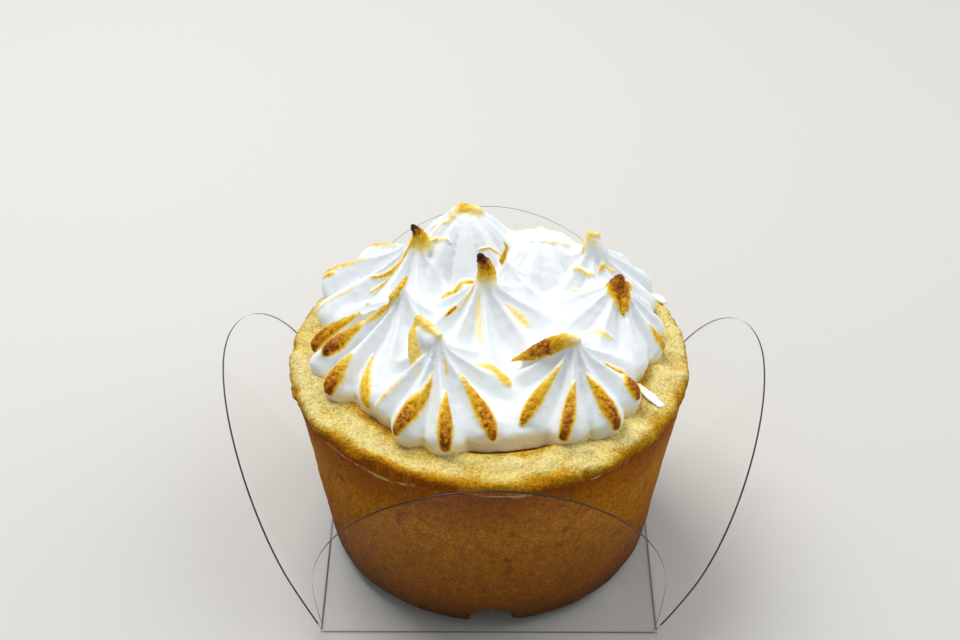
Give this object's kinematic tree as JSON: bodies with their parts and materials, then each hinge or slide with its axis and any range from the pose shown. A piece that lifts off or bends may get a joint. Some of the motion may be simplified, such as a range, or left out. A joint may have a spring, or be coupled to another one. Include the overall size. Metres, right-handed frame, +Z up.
{
  "type": "lemon tartlet",
  "caption": "Individual lemon meringue tartlet: a deep shortcrust cup topped with torched, star-piped meringue, standing in its clear folded petal case.",
  "frame": {"origin": "centre of the case's square base, on its underside, where the tartlet stands on a table", "axes": "+Z up, -Y towards the front petal, +X to the right seen from the front"},
  "size_m": [0.0839, 0.0725, 0.0508],
  "materials": {
    "clear_sheet": "clear, glossy, thin sheet",
    "shortcrust": "baked shortcrust pastry, matt and crumbly",
    "meringue": "soft meringue, smooth satin white with torched ridges"
  },
  "bodies": {
    "root": {"clear_case": "clear_sheet", "crust": "shortcrust", "meringue": "meringue"}
  },
  "joints": []
}
